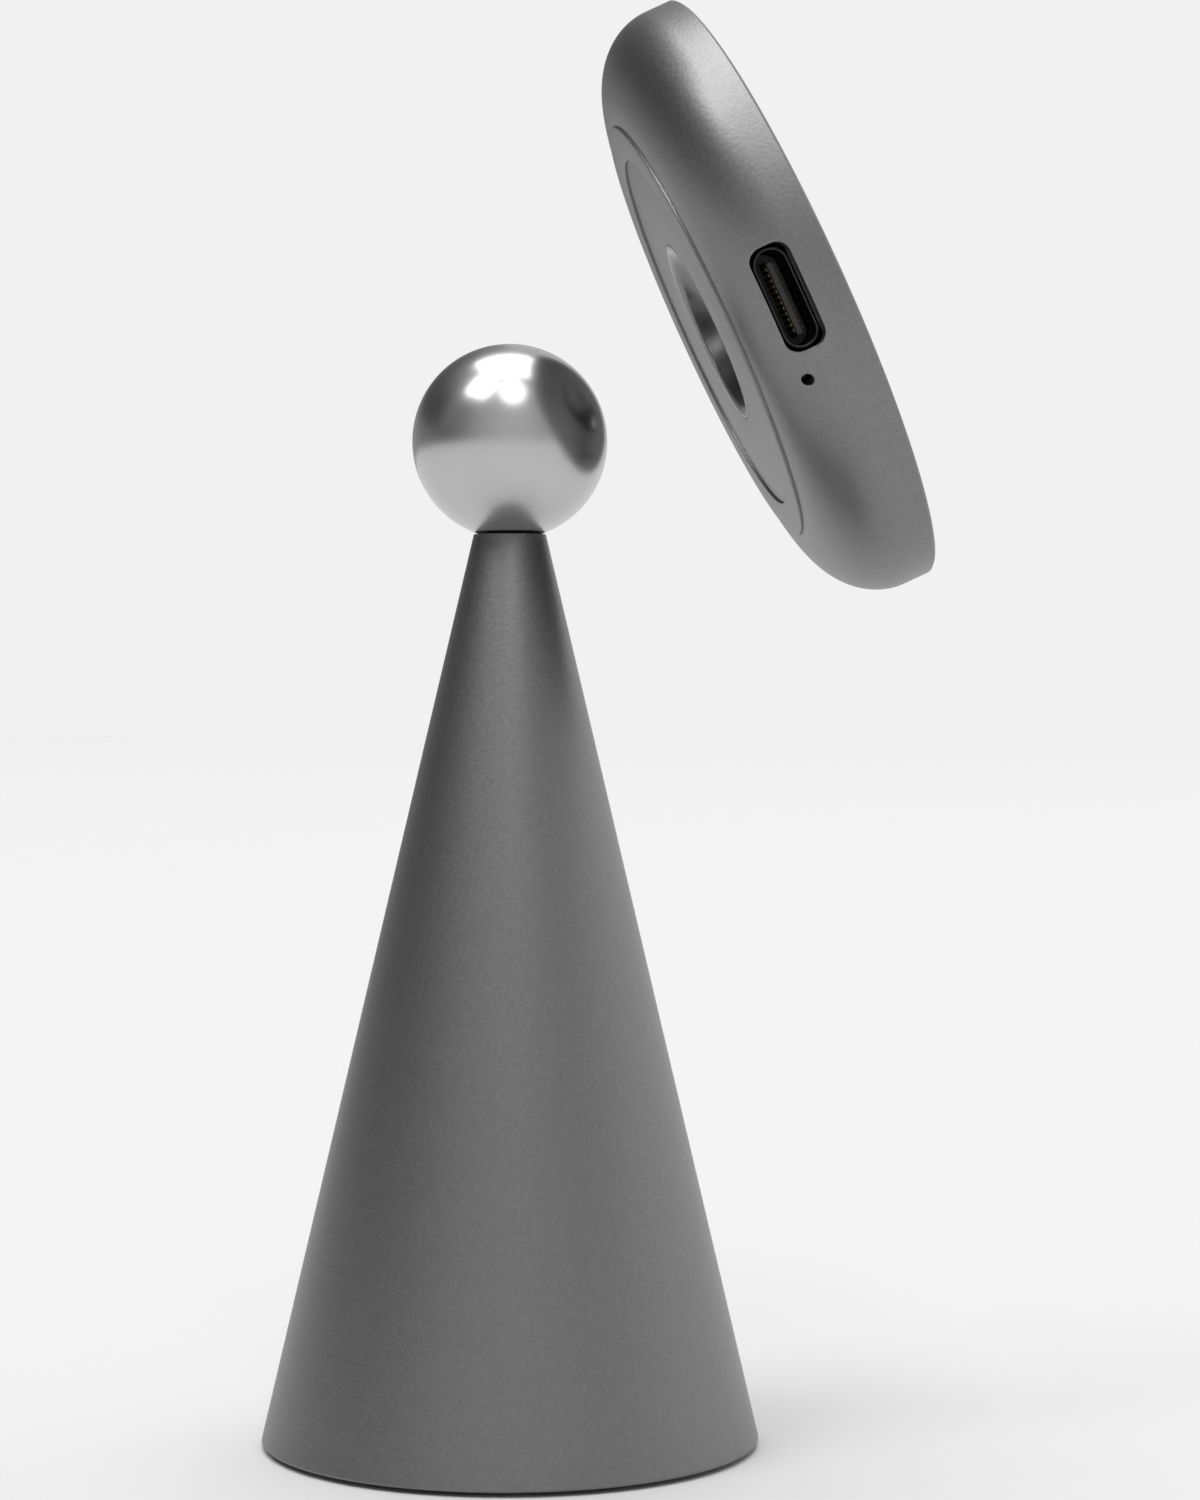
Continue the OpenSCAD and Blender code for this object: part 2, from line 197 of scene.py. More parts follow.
def grid_faces(columns, rows, wrap_rows=True):
    """Quads of a grid whose columns close into a ring, and whose rows close too when wrap_rows is true.
    Place (i, j) has number i * rows + j."""
    i, j = np.meshgrid(np.arange(columns), np.arange(rows if wrap_rows else rows - 1), indexing="ij")
    i2, j2 = (i + 1) % columns, (j + 1) % rows
    return np.stack([i * rows + j, i2 * rows + j, i2 * rows + j2, i * rows + j2], -1).reshape(-1, 4)


def lathe(name, outline, place=upright, turns=TURNS):
    """Carries an outline once round z: point (i, j) is (r_j cos a_i, r_j sin a_i, z_j), with a_i = 360 i /
    turns degrees. An outline that starts on the axis ends there too; any other closes on itself."""
    angle = 2 * math.pi * np.arange(turns)[:, None] / turns
    r, z = outline[:, 0], outline[:, 1]
    points = np.stack([r * np.cos(angle), r * np.sin(angle), z + 0 * angle], -1)
    return mesh_of(name, points, grid_faces(turns, len(outline), outline[0, 0] > 1e-6), place)

# %% [markdown]
# ## The cone
#
# The real cone is turned from aluminium bar and bored out from below to take a ballast. Its tip is cupped
# to the ball, so the ball seems to rest on a knife edge, and its foot has hardly any break: only 0.25 mm,
# enough for one thin line of light. The outline below walks up the outside, over the cup, down the stud's
# bore and the cavity, and back out through the recess of the foot.

# %% Cone
def cone_at(z):
    """Radius of the cone at a height."""
    return CONE_R - TAPER * z


SHOULDER_Z, SHELL_WALL = 66.0, 2.2
PLATE_TOP, RECESS_R, BORE_R = 3.6, 20.4, 2.0
FOOT_BREAK, SHOULDER_FILLET = 0.25, 0.3
# The cup meets the cone's side where (R - t z)^2 + (z - ball's z)^2 = cup radius^2, a quadratic in z
quadratic = (1 + TAPER**2, -2 * (TAPER * CONE_R + BALL_Z), CONE_R**2 + BALL_Z**2 - CUP_R**2)
tip_z = (-quadratic[1] - math.sqrt(quadratic[1] ** 2 - 4 * quadratic[0] * quadratic[2])) / (2 * quadratic[0])
cup_low_z = BALL_Z - math.sqrt(CUP_R**2 - BORE_R**2)
cup_mid_r = (cone_at(tip_z) + BORE_R) / 2
cup_mid_z = BALL_Z - math.sqrt(CUP_R**2 - cup_mid_r**2)
cone_outline = rounded([
    (RECESS_R, FOOT_GAP, BROKEN),
    (cone_at(FOOT_GAP), FOOT_GAP, FOOT_BREAK),
    (cone_at(tip_z), tip_z, KEEN),
    (cup_mid_r, cup_mid_z, INNER),
    (BORE_R, cup_low_z, INNER),
    (BORE_R, SHOULDER_Z, INNER),
    (cone_at(SHOULDER_Z) - SHELL_WALL, SHOULDER_Z, SHOULDER_FILLET),
    (cone_at(PLATE_TOP) - SHELL_WALL, PLATE_TOP, INNER),
    (RECESS_R, PLATE_TOP, BROKEN),
])
cone = lathe("cone_surface", cone_outline)
print("the cup meets the cone at z", round(tip_z, 3))

# %% [markdown]
# ## The ball
#
# A bearing ball is round to a thousandth of a millimetre, so it is a true sphere. Its outline is half a
# circle, and the poles close where the outline meets the axis.

# %% Ball
half_turn = np.radians(np.linspace(-90, 90, 181))
ball_outline = np.stack([BALL_R * np.cos(half_turn), BALL_Z + BALL_R * np.sin(half_turn)], -1)
ball = lathe("ball_surface", ball_outline)

# %% [markdown]
# ## The disc's housing
#
# The housing is a lathe shape too, but it has two openings in its wall: the socket and the pinhole of the
# light. A Boolean could cut them, but it leaves long thin triangles that spoil the soft highlights round
# the opening. Instead a block of the grid is left out where each opening comes, and the gap is filled with
# rings that run from the block's edge to the opening's edge. Each ring lies on the same surface, because
# the wall seen through the rim is a height field: at x along the rim and w above the back it stands
# sqrt(r(w)^2 - x^2) from the axis.

# %% Housing outline
RIM_BREAK, RIM_ROUND, COVER_ROUND, GROOVE_ROUND = 0.25, 0.12, 0.08, 0.02
COVER_SEAT_R, COVER_BED = DISC_R - 1.0, DISC_T - 1.4
INNER_FLAT_R, INNER_WALL_R = 19.2, DISC_R - 1.8
INNER_WALL_START = WALL_START - 0.2
SEAT_HOLE_R = MOUTH_R + 0.1
OUTER_STEPS, INNER_STEPS = 36, 27
# Each wall's curve: the flat back's radius, how far out the curve goes, where it starts, how high it climbs
OUTER_WALL = (FLAT_R, SHOULDER_R, 0, WALL_START)
INNER_WALL = (INNER_FLAT_R, INNER_WALL_R - INNER_FLAT_R, BACK_WALL, INNER_WALL_START - BACK_WALL)


def quarter(flat_r, out, start, climb, steps):
    """A quarter ellipse that leaves (flat_r, start) level and arrives at (flat_r + out, start + climb)
    upright."""
    q = np.radians(np.linspace(0, 90, steps + 1))
    return np.stack([flat_r + out * np.sin(q), start + climb * (1 - np.cos(q))], -1)


def wall_radius(w, flat_r, out, start, climb):
    """The same quarter ellipse as a function: the wall's radius at height w, and beyond it the upright
    wall."""
    fall = np.clip((start + climb - w) / climb, 0, 1)
    return flat_r + out * np.sqrt(1 - fall**2)


outer_curve = quarter(*OUTER_WALL, OUTER_STEPS)
inner_curve = quarter(*INNER_WALL, INNER_STEPS)
back_face = between([
    (INNER_FLAT_R, BACK_WALL, 0),
    (SEAT_HOLE_R, BACK_WALL, INNER),
    (SEAT_HOLE_R, 0, KEEN),
    (RING_IN - RING_GAP, 0, GROOVE_ROUND),
    (RING_IN - RING_GAP, RING_SEAT, INNER),
    (RING_OUT + RING_GAP, RING_SEAT, INNER),
    (RING_OUT + RING_GAP, 0, GROOVE_ROUND),
    (FLAT_R, 0, 0),
])
front_rim = between([
    (DISC_R, WALL_START, 0),
    (DISC_R, DISC_T - RIM_BREAK, RIM_ROUND),
    (DISC_R - RIM_BREAK, DISC_T, RIM_ROUND),
    (COVER_SEAT_R, DISC_T, COVER_ROUND),
    (COVER_SEAT_R, COVER_BED, INNER),
    (INNER_WALL_R, COVER_BED, INNER),
    (INNER_WALL_R, INNER_WALL_START, 0),
])
housing_outline = np.concatenate([back_face, outer_curve, front_rim, inner_curve[::-1]])
outer_row = len(back_face)
inner_row = len(back_face) + len(outer_curve) + len(front_rim) + INNER_STEPS
print(f"housing outline has {len(housing_outline)} points")

# %% [markdown]
# The openings come next. `slot_edge` gives the edge of a rounded rectangle in a chosen set of directions,
# so that rings of different sizes have their points in step with each other and with the block of grid
# round them. The edge of each opening is broken by a small quarter round, as a deburred hole has.

# %% Openings in the housing
PORT_TURN, LIGHT_TURN = 3, 18
PORT_HALF = (4.6, 1.7, 1.2)
LIGHT_HALF = (0.5, 0.5, 0.5)
SOCKET_Z, LIGHT_Z = 4.3, 3.15
SOCKET_BREAK, LIGHT_BREAK = 0.12, 0.08
OUTER_RINGS, INNER_RINGS = 6, 4


def slot(half, grow=0.0, count=96):
    """Points round a rounded rectangle, (half width, half height, corner) grown by grow on every side. Each
    is the centre of its quadrant's corner plus corner radius times (cos a, sin a)."""
    half_w, half_h, corner = (max(v + grow, 0) for v in half)
    a = 2 * math.pi * (np.arange(count) + 0.5) / count
    x = np.sign(np.cos(a)) * (half_w - corner) + corner * np.cos(a)
    y = np.sign(np.sin(a)) * (half_h - corner) + corner * np.sin(a)
    return np.stack([x, y], -1)


def slot_edge(half, grow, aim):
    """The same outline where the directions aim cross it. A direction is the angle of (x / half width, y /
    half height), so that a wide opening's points are shared out fairly."""
    outline = slot(half, grow, 720)
    along = np.arctan2(outline[:, 1] / (half[1] + grow), outline[:, 0] / (half[0] + grow))
    return np.stack([np.interp(aim, along, part, period=2 * math.pi) for part in outline.T], -1)

# %% [markdown]
# Now the rings. `block_loop` walks once round the edge of the block that was left out, and `opening` draws
# rings from there to the hole, over its broken edge, through the wall, and out again across the inner wall.
# Their points stay in step, so plain quads join each ring to the next.

# %% Rings of an opening
def block_loop(columns, rows):
    """Grid places once round a block: out along the first row, up the last column, back along the last row
    and down the first column."""
    i = np.concatenate([columns[:-1], np.full(len(rows) - 1, columns[-1]), columns[:0:-1],
                        np.full(len(rows) - 1, columns[0])])
    j = np.concatenate([np.full(len(columns) - 1, rows[0]), rows[:-1], np.full(len(columns) - 1, rows[-1]),
                        rows[:0:-1]])
    return i, j


def opening(points, columns, outer_rows, inner_rows, turn, height, half, edge):
    """Rings of points that run from a block of the outer wall into an opening and out to the block of the
    inner wall behind it. Each ring is (x, w) carried between the block's edge and the opening's edge, and
    stands sqrt(r(w)^2 - x^2) from the axis."""
    turned = math.radians(turn)

    def seen(rows):
        x, y, w = points[block_loop(columns, rows)].T
        return np.stack([x * math.cos(turned) + y * math.sin(turned), w - height], -1)

    def aims(loop):
        return np.arctan2(loop[:, 1] / np.abs(loop[:, 1]).max(), loop[:, 0] / np.abs(loop[:, 0]).max())

    def standing(flat, wall, sunk=0.0):
        out = np.sqrt(wall_radius(flat[:, 1] + height, *wall) ** 2 - flat[:, 0] ** 2) - sunk
        return np.stack([flat[:, 0] * math.cos(turned) + out * math.sin(turned),
                         flat[:, 0] * math.sin(turned) - out * math.cos(turned), flat[:, 1] + height], -1)

    outer, inner = seen(outer_rows), seen(inner_rows)
    outer_aim, inner_aim = aims(outer), aims(inner)
    broken, plain = slot_edge(half, edge, outer_aim), slot_edge(half, 0, inner_aim)
    inwards = np.linspace(0, 1, OUTER_RINGS + 1)[1:]
    rings = [standing(outer + (broken - outer) * s, OUTER_WALL) for s in inwards]
    for q in np.radians([30, 60, 90]):
        ring = slot_edge(half, edge * (1 - math.sin(q)), outer_aim)
        rings.append(standing(ring, OUTER_WALL, edge * (1 - math.cos(q))))
    outwards = np.linspace(0, 1, INNER_RINGS + 1)[:-1]
    return rings + [standing(plain + (inner - plain) * s, INNER_WALL) for s in outwards]

# %% [markdown]
# The last step puts it together: the lathe's grid without its blocks, and the rings in their place. `hole`
# says which columns and rows a block takes. The socket's block reaches 12 degrees to either side and the
# light's only 2.

# %% The pierced housing
def pierced_lathe(name, outline, openings, place):
    """A lathe shape, turned from the socket's direction, with each opening's block of faces left out and
    its rings of quads put in. Point (i, j) is (r_j sin a_i, -r_j cos a_i, z_j)."""
    angle = np.radians(PORT_TURN) + 2 * math.pi * np.arange(TURNS)[:, None] / TURNS
    r, z = outline[:, 0], outline[:, 1]
    points = np.stack([r * np.sin(angle), -r * np.cos(angle), z + 0 * angle], -1)
    keep = np.ones((TURNS, len(outline)), bool)
    all_points, extra = [points.reshape(-1, 3)], []
    count = points.shape[0] * points.shape[1]
    for columns, outer_rows, inner_rows, turn, height, half, edge in openings:
        for rows in (outer_rows, inner_rows):
            keep[np.ix_(columns[:-1], np.sort(rows)[:-1])] = False
        i, j = block_loop(columns, outer_rows)
        rings = opening(points, columns, outer_rows, inner_rows, turn, height, half, edge)
        numbers = [i * len(outline) + j]
        for ring in rings:
            numbers.append(count + np.arange(len(ring)))
            all_points.append(ring)
            count += len(ring)
        i, j = block_loop(columns, inner_rows)
        numbers.append(i * len(outline) + j)
        for near, far in zip(numbers, numbers[1:]):
            extra.append(np.stack([near, np.roll(near, -1), np.roll(far, -1), far], -1))
    faces = grid_faces(TURNS, len(outline))[keep.ravel()]
    return mesh_of(name, np.concatenate(all_points), np.concatenate([faces, *extra]), place)


def hole(turn, height, half, edge, reach, outer, inner):
    """All that pierced_lathe needs for one opening. Its block of grid reaches so many columns to either
    side, and so many rows along the outer and the inner curve: outer and inner are each the first and the
    last."""
    columns = np.arange(turn - PORT_TURN - reach, turn - PORT_TURN + reach + 1) % TURNS
    outer_rows = outer_row + np.arange(outer[0], outer[1] + 1)
    inner_rows = inner_row - np.arange(inner[0], inner[1] + 1)
    return columns, outer_rows, inner_rows, turn, height, half, edge


socket_hole = hole(PORT_TURN, SOCKET_Z, PORT_HALF, SOCKET_BREAK, 12, (18, 36), (9, 27))
light_hole = hole(LIGHT_TURN, LIGHT_Z, LIGHT_HALF, LIGHT_BREAK, 2, (19, 27), (11, 19))
housing = pierced_lathe("housing_surface", housing_outline, [socket_hole, light_hole], on_disc)

# %% [markdown]
# ## The ring and the seat
#
# The raised ring is a flat washer pressed into a groove of the back, so a hair of shadow shows at both its
# edges. The seat is a cup turned from aluminium: its bowl is part of a sphere a little larger than the
# ball, and its lip rolls over in an arc that meets the bowl without a kink. Both are round, so the same lathe
# makes them from one outline each.

# %% Ring and seat
RING_ROUND, RING_BED = 0.09, RING_SEAT - 0.02
back_ring = lathe("ring_surface", rounded([
    (RING_IN, RING_BED, GROOVE_ROUND),
    (RING_IN, -RING_PROUD, RING_ROUND),
    (RING_OUT, -RING_PROUD, RING_ROUND),
    (RING_OUT, RING_BED, GROOVE_ROUND),
]), on_disc)

SEAT_RIM_R, SEAT_FLOOR, SEAT_FOOT_R, SEAT_FOOT_ROUND = MOUTH_R + 0.05, 5.15, 5.6, 0.4
FLANGE_R, FLANGE_Z, FLANGE_TOP, FLANGE_FILLET = SEAT_RIM_R + 0.9, BACK_WALL + 0.05, BACK_WALL + 0.55, 0.2
BOWL_STEPS, LIP_STEPS = 60, 24
lip_angle = math.atan2(MOUTH_R, SEAT_CENTRE + LIP_R)
swing = np.linspace(0, lip_angle, BOWL_STEPS + 1)
bowl = np.stack([CUP_R * np.sin(swing), CUP_R * np.cos(swing) - SEAT_CENTRE], -1)
swing = np.linspace(lip_angle, 0, LIP_STEPS + 1)[1:]
lip = np.stack([MOUTH_R - LIP_R * np.sin(swing), LIP_R * (1 - np.cos(swing))], -1)
under = between([
    (MOUTH_R, 0, 0),
    (SEAT_RIM_R, 0, 0.03),
    (SEAT_RIM_R, FLANGE_Z, INNER),
    (FLANGE_R, FLANGE_Z, BROKEN),
    (FLANGE_R, FLANGE_TOP, BROKEN),
    (SEAT_RIM_R - 0.3, FLANGE_TOP, FLANGE_FILLET),
    (SEAT_FOOT_R, SEAT_FLOOR, SEAT_FOOT_ROUND),
    (0, SEAT_FLOOR, 0),
])
seat = lathe("seat_surface", np.concatenate([bowl, lip, under, [(0, SEAT_FLOOR)]]), on_disc)

# %% [markdown]
# ## The pads
#
# The phone rests on a thin silicone sheet, let into the front so that only its soft edge and one shallow
# ring show. A thicker one grips the desk, with three ring grooves in its underside. Both are cut from
# silicone, with soft edges. They are round, so the lathe makes them too.

# %% Pads
PAD_R, PAD_TOP, PAD_UNDER, PAD_ROUND = COVER_SEAT_R - 0.05, DISC_T - 0.1, DISC_T - 0.55, 0.18
PAD_GROOVE_IN, PAD_GROOVE_OUT, PAD_GROOVE_Z = 22.2, 22.6, PAD_TOP - 0.15
front_pad = lathe("front_pad_surface", between([
    (0, PAD_UNDER, 0),
    (PAD_R, PAD_UNDER, INNER),
    (PAD_R, PAD_TOP, PAD_ROUND),
    (PAD_GROOVE_OUT, PAD_TOP, KEEN),
    (PAD_GROOVE_OUT, PAD_GROOVE_Z, KEEN),
    (PAD_GROOVE_IN, PAD_GROOVE_Z, KEEN),
    (PAD_GROOVE_IN, PAD_TOP, KEEN),
    (0, PAD_TOP, 0),
], ends=1), on_disc)

FOOT_R, FOOT_TOP, FOOT_ROUND = 20.0, 1.58, 0.25
GRIP_RADII, GRIP_HALF, GRIP_DEPTH, GRIP_ROUND = (18, 13, 8), 0.5, 0.4, 0.12
grips = [corner for middle in GRIP_RADII for corner in (
    (middle + GRIP_HALF, 0, GRIP_ROUND), (middle + GRIP_HALF, GRIP_DEPTH, BROKEN),
    (middle - GRIP_HALF, GRIP_DEPTH, BROKEN), (middle - GRIP_HALF, 0, GRIP_ROUND))]
foot_outline = [(0, FOOT_TOP, 0), (FOOT_R, FOOT_TOP, BROKEN), (FOOT_R, 0, FOOT_ROUND), *grips, (0, 0, 0)]
foot_pad = lathe("foot_pad_surface", between(foot_outline, ends=1))

# %% [markdown]
# ## The socket and the light
#
# A USB-C shell is a drawn steel tube with round ends, and its mouth is rolled so that a plug slides in. It
# is one outline carried along the plug's direction: up the outside, over the lip and down the inside. The
# tongue is the same sort of sweep, closed by a rounded nose. The light pipe is a turned pin with a domed
# end.

# %% Swept pieces
def sweep(name, half, levels, place):
    """A stack of slots: level (inset, z) gives the outline half shrunk by inset on every side, at height z.
    The first and the last level are each closed by one that is shrunk to a line."""
    levels = [(half[1], levels[0][1]), *levels, (half[1], levels[-1][1])]
    rings = []
    for inset, z in levels:
        outline = slot(half, -inset)
        rings.append(np.column_stack([outline, np.full(len(outline), z)]))
    return mesh_of(name, np.stack(rings, 1), grid_faces(len(rings[0]), len(rings), False), place)


in_socket = through_rim(PORT_TURN, SOCKET_Z)
USB_HALF, USB_WALL, USB_BACK, USB_MOUTH = (4.47, 1.58, 1.58), 0.3, 19.2, 26.0
ROLL = USB_WALL / 2
roll = np.radians(np.linspace(0, 180, 13))
shell_levels = [(BROKEN, USB_BACK), (0, USB_BACK + BROKEN)]
shell_levels += [(ROLL * (1 - math.cos(q)), USB_MOUTH - ROLL + ROLL * math.sin(q)) for q in roll]
shell_levels += [(USB_WALL, USB_BACK + USB_WALL)]
usb_shell = sweep("usb_shell_surface", USB_HALF, shell_levels, in_socket)

TONGUE_HALF, TONGUE_END, NOSE = (3.345, 0.35, 0.12), USB_MOUTH - 0.8, 0.2
BLOCK_HALF, BLOCK_BACK = (4.14, 1.25, 1.25), USB_BACK + USB_WALL + 0.02
BLOCK_FRONT = BLOCK_BACK + 1.4
nose = np.radians(np.linspace(0, 90, 7))
tongue_levels = [(0, BLOCK_FRONT - BROKEN)]
tongue_levels += [(NOSE * (1 - math.cos(q)), TONGUE_END - NOSE + NOSE * math.sin(q)) for q in nose]
tongue = sweep("usb_tongue_surface", TONGUE_HALF, tongue_levels, in_socket)
block_levels = [(0, BLOCK_BACK), (0, BLOCK_FRONT - BROKEN), (BROKEN, BLOCK_FRONT)]
tongue_block = sweep("usb_block_surface", BLOCK_HALF, block_levels, in_socket)

PIN_R, PIN_BACK, PIN_END, PIN_EDGE, PIN_DOME, PIN_SIDES = 0.46, 21.6, 25.2, 0.04, 0.3, 48
pin_outline = [(0, PIN_BACK, 0), (PIN_R, PIN_BACK, PIN_EDGE), (PIN_R, PIN_END, PIN_DOME), (0, PIN_END, 0)]
in_light_hole = through_rim(LIGHT_TURN, LIGHT_Z)
light_pipe = lathe("light_pipe_surface", between(pin_outline, ends=1), in_light_hole, PIN_SIDES)

# %% [markdown]
# ## What each surface stands for
#
# Each new surface rides on the body of the CAD node that it stands for, and takes that node's finish.

# %% Riding on the frame
body_of = {node: body for body, nodes in frame["record"]["behaviour"]["bodies"].items() for node in nodes}
stands_for = {
    "cone_shell": [cone],
    "steel_ball": [ball],
    "housing": [housing],
    "back_ring": [back_ring],
    "seat_dish": [seat],
    "front_pad": [front_pad],
    "foot_pad": [foot_pad],
    "usb_shell": [usb_shell],
    "usb_tongue": [tongue, tongue_block],
    "light_pipe": [light_pipe],
}
for node, pieces in stands_for.items():
    for piece in pieces:
        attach(piece, body_of[node])
        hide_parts(node)
print(len(stands_for), "of", len(body_of), "CAD nodes have a smooth surface of their own")

# %% [markdown]
# ## Finishes
#
# Every finish here comes from one recipe. Two close colours are mixed by a fine noise, and the same noise
# may lift the surface a little. What makes one finish differ from another is its colour, how metallic and
# how rough it is, and how large its grain is. A stretched noise gives drawn, rolled or turned metal its
# direction. Colours are written as sRGB hex, as a paint chart would give them, and turned to linear light
# for the shader.

# %% The recipe
# The CAD model's plain colours make room for the finishes, which take the same names
for plain in list(bpy.data.materials):
    bpy.data.materials.remove(plain)


def linear(hex_colour):
    """sRGB hex to linear: c / 12.92 for dark values, else ((c + 0.055) / 1.055) ^ 2.4."""
    c = np.array([int(hex_colour[i:i + 2], 16) for i in (1, 3, 5)]) / 255
    return (*np.where(c <= 0.04045, c / 12.92, ((c + 0.055) / 1.055) ** 2.4), 1)


def add(tree, kind, inputs=None, **settings):
    """Adds a shader node. inputs gives each input, by name or number, a value or another node's output to
    be linked from."""
    node = tree.nodes.new("ShaderNode" + kind)
    for name, value in settings.items():
        setattr(node, name, value)
    for name, value in (inputs or {}).items():
        if isinstance(value, bpy.types.NodeSocket):
            tree.links.new(value, node.inputs[name])
        else:
            node.inputs[name].default_value = value
    return node


def finish(name, colours, rough, grain, relief=0.0, stretch=(1, 1, 1), **constants):
    """A material: two colours mixed by a noise with cells of grain mm, raised by relief mm. stretch scales
    the pattern's coordinates, so a value under 1 draws the cells out along that axis. rough is one value,
    or two that the noise mixes as it mixes the colours. constants go straight onto the shader's own
    sockets."""
    material = bpy.data.materials.new(name)
    material.use_nodes = True
    tree = material.node_tree
    shader = tree.nodes["Principled BSDF"]
    for key, value in constants.items():
        shader.inputs[key.replace("_", " ")].default_value = value
    place = add(tree, "Mapping", {"Vector": add(tree, "TexCoord").outputs["Object"], "Scale": stretch})
    cells = {"Vector": place.outputs["Vector"], "Scale": 1 / (grain * MM), "Detail": 2.0}
    share = add(tree, "TexNoise", cells).outputs["Fac"]
    # A Mix node keeps its two colours in sockets 6 and 7 and gives the mixed one in socket 2
    mixed = add(tree, "Mix", {0: share, 6: linear(colours[0]), 7: linear(colours[1])}, data_type="RGBA")
    tree.links.new(mixed.outputs[2], shader.inputs["Base Color"])
    if isinstance(rough, tuple):
        spread = add(tree, "MapRange", {"Value": share, "To Min": rough[0], "To Max": rough[1]})
        tree.links.new(spread.outputs["Result"], shader.inputs["Roughness"])
    else:
        shader.inputs["Roughness"].default_value = rough
    if relief:
        bump = add(tree, "Bump", {"Height": share, "Distance": relief * MM})
        tree.links.new(bump.outputs["Normal"], shader.inputs["Normal"])
    return material

# %% [markdown]
# ## Finishes on the outside
#
# Bead-blasting leaves a dimple of about 0.05 mm from each glass bead. The dimples have no direction, so the
# metal shines softly and evenly, and its colour comes from the grey anodised layer. They are drawn about
# seven times too wide here, or nothing of them would show. The seat is the same grey aluminium, left as the
# lathe turned it, so it is smoother and its reflections are sharper. The ball is a polished steel ball with
# the faint haze of handling: it mirrors the room with soft edges. Silicone is matt and dark, and scatters
# what little light it returns. The socket's shell is drawn steel under black nickel, with its fine draw
# lines running the way the plug slides, and the contacts' thin gold is dull in the shade of the shell. The
# tongue is black moulded resin, even and half matt. The light pipe is smoked acrylic, so the pinhole looks
# black while the lamp behind it is off.

# %% Outside finishes
METAL = {"Metallic": 1.0}
ALONG_PLUG, ROUND_AXIS = (1, 0.08, 1), (0.02, 0.02, 1)
blasted_aluminium = finish("blasted_aluminium", ("#757575", "#898989"), (0.40, 0.46), 0.35, 0.018, **METAL)
machined_aluminium = finish("machined_aluminium", ("#7a7a7a", "#7e7e7e"), 0.24, 1, **METAL)
polished_steel = finish("polished_steel", ("#bababa", "#bdbdbd"), 0.25, 3, **METAL)
pad_silicone = finish("pad_silicone", ("#2f2f31", "#353537"), (0.68, 0.78), 0.2, 0.006, IOR=1.41)
foot_silicone = finish("foot_silicone", ("#202021", "#272728"), (0.6, 0.75), 0.4, 0.01, IOR=1.41)
black_nickel = finish("black_nickel_plate", ("#343436", "#3c3c3e"), (0.28, 0.38), 0.15, 0.002, ALONG_PLUG,
                      **METAL)
black_resin = finish("black_resin", ("#18181a", "#1f1f21"), (0.4, 0.5), 0.3, 0.003, IOR=1.55)
gold_plate = finish("gold_plate", ("#a08550", "#ab905c"), 0.35, 0.3, **METAL)
smoked_acrylic = finish("smoked_acrylic", ("#0d0d0e", "#121213"), 0.08, 1, IOR=1.49, Transmission_Weight=0.5)

# %% [markdown]
# ## Finishes on the inside
#
# These pieces don't show, but each still gets the finish that it would have on a bench. Zinc plate has a
# soft spangle, and a turned stud the fine rings of its tool. Nickel on a magnet is bright and a little warm,
# soft iron is a dull grey, and cast iron is dark and coarse from its sand. Moulded polycarbonate is milky and
# even. Copper wire lies under clear enamel, which adds a second, sharper shine. Sintered ferrite looks like
# dark chalk. The board is glass cloth under green lacquer, its capacitors are fired brown ceramic, and the
# lamp is clear resin over pale phosphor.

# %% Inside finishes
zinc_plated_steel = finish("zinc_plated_steel", ("#b9bdc2", "#c6cace"), (0.25, 0.35), 0.5, **METAL)
turned_steel = finish("turned_steel", ("#a8a9ab", "#b6b7b9"), (0.3, 0.4), 0.15, 0.003, ROUND_AXIS, **METAL)
soft_iron = finish("soft_iron", ("#6b6b6d", "#777779"), (0.45, 0.55), 0.3, **METAL)
nickel_plate = finish("nickel_plate", ("#cfc9bf", "#d6d1c8"), 0.2, 0.5, **METAL)
cast_iron = finish("cast_iron", ("#3a3a3c", "#47474a"), (0.55, 0.7), 0.6, 0.05, **METAL)
polycarbonate = finish("polycarbonate", ("#d2d2cd", "#d8d8d3"), (0.35, 0.42), 0.5, 0.003, IOR=1.585)
ENAMEL = {"Coat Weight": 1.0, "Coat IOR": 1.55}
enamelled_copper = finish("enamelled_copper", ("#c8743c", "#d68046"), 0.3, 0.4, **METAL, **ENAMEL)
ferrite = finish("ferrite", ("#262629", "#303034"), (0.6, 0.7), 0.1, 0.004, IOR=2.0)
circuit_laminate = finish("circuit_laminate", ("#0d3d20", "#125028"), (0.3, 0.4), 1.0, 0.004, IOR=1.55)
capacitor_ceramic = finish("capacitor_ceramic", ("#8a6a4c", "#96765a"), (0.4, 0.5), 0.2, IOR=1.7)
lamp_resin = finish("lamp_resin", ("#f2f1d8", "#f7f6e2"), 0.2, 0.5, IOR=1.54, Subsurface_Weight=0.3)

